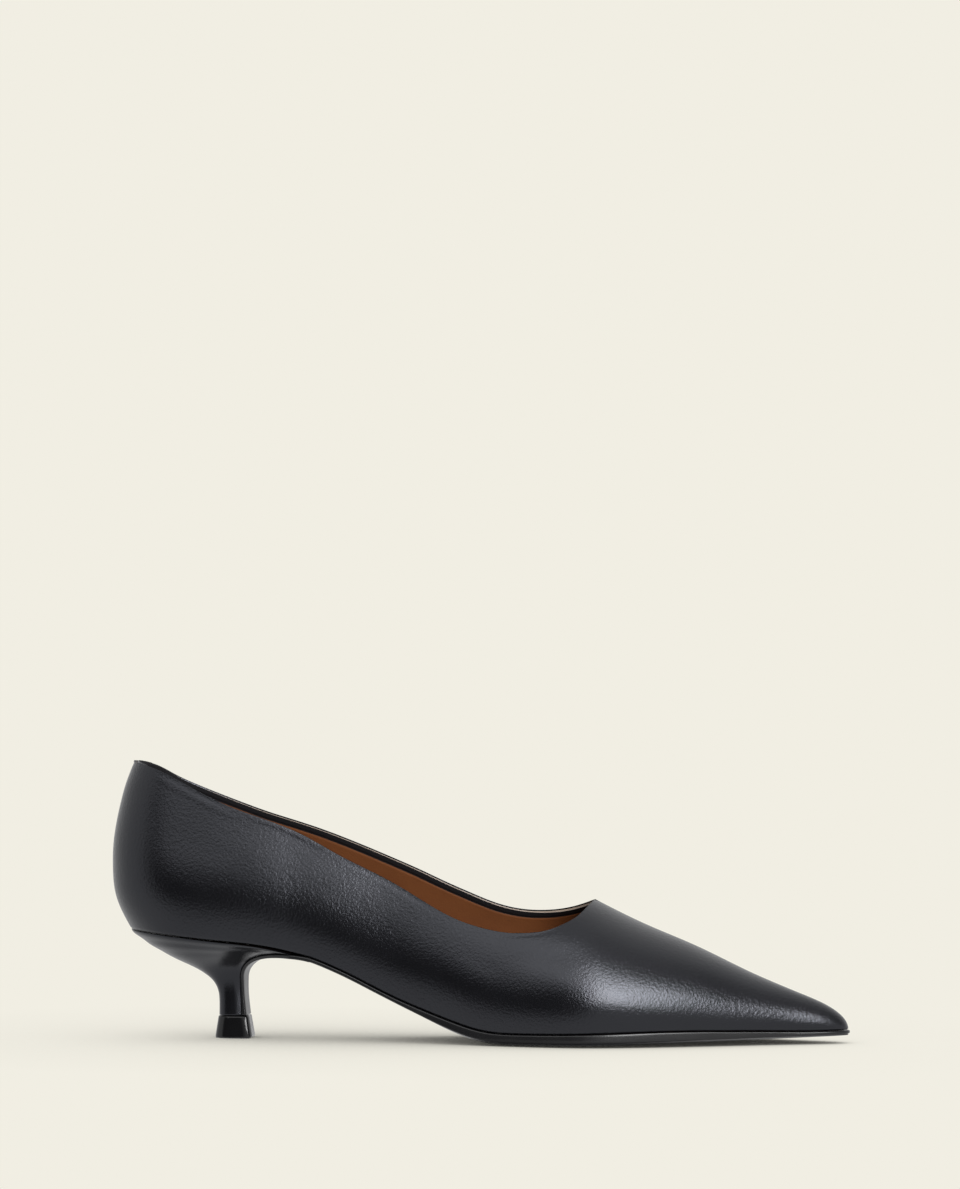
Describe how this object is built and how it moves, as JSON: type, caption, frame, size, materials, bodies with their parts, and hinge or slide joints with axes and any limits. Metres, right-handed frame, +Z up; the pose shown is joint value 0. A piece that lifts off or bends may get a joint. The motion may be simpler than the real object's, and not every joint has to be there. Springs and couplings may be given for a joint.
{
  "type": "kitten heel pump",
  "caption": "Right low-cut pump with a pointed toe, a hollow leather upper, a thin sole running down the heel breast and a flared kitten heel.",
  "frame": {"origin": "on the floor, under the centre of the shoe's bounding box", "axes": "+X runs from the heel to the toe, +Y to the inner side of the right foot, +Z up"},
  "size_m": [0.2704, 0.0742, 0.1006],
  "materials": {
    "upper_leather": "smooth fine grained black leather, satin",
    "lining_leather": "tan lining leather, matt",
    "sole": "black sole with a polished edge",
    "heel_leather": "black leather cover, satin",
    "top_piece": "hard black tip, glossy"
  },
  "bodies": {
    "root": {"upper": "upper_leather", "insole": "lining_leather", "outsole": "sole", "heel": "heel_leather", "top_piece": "top_piece"}
  },
  "joints": []
}
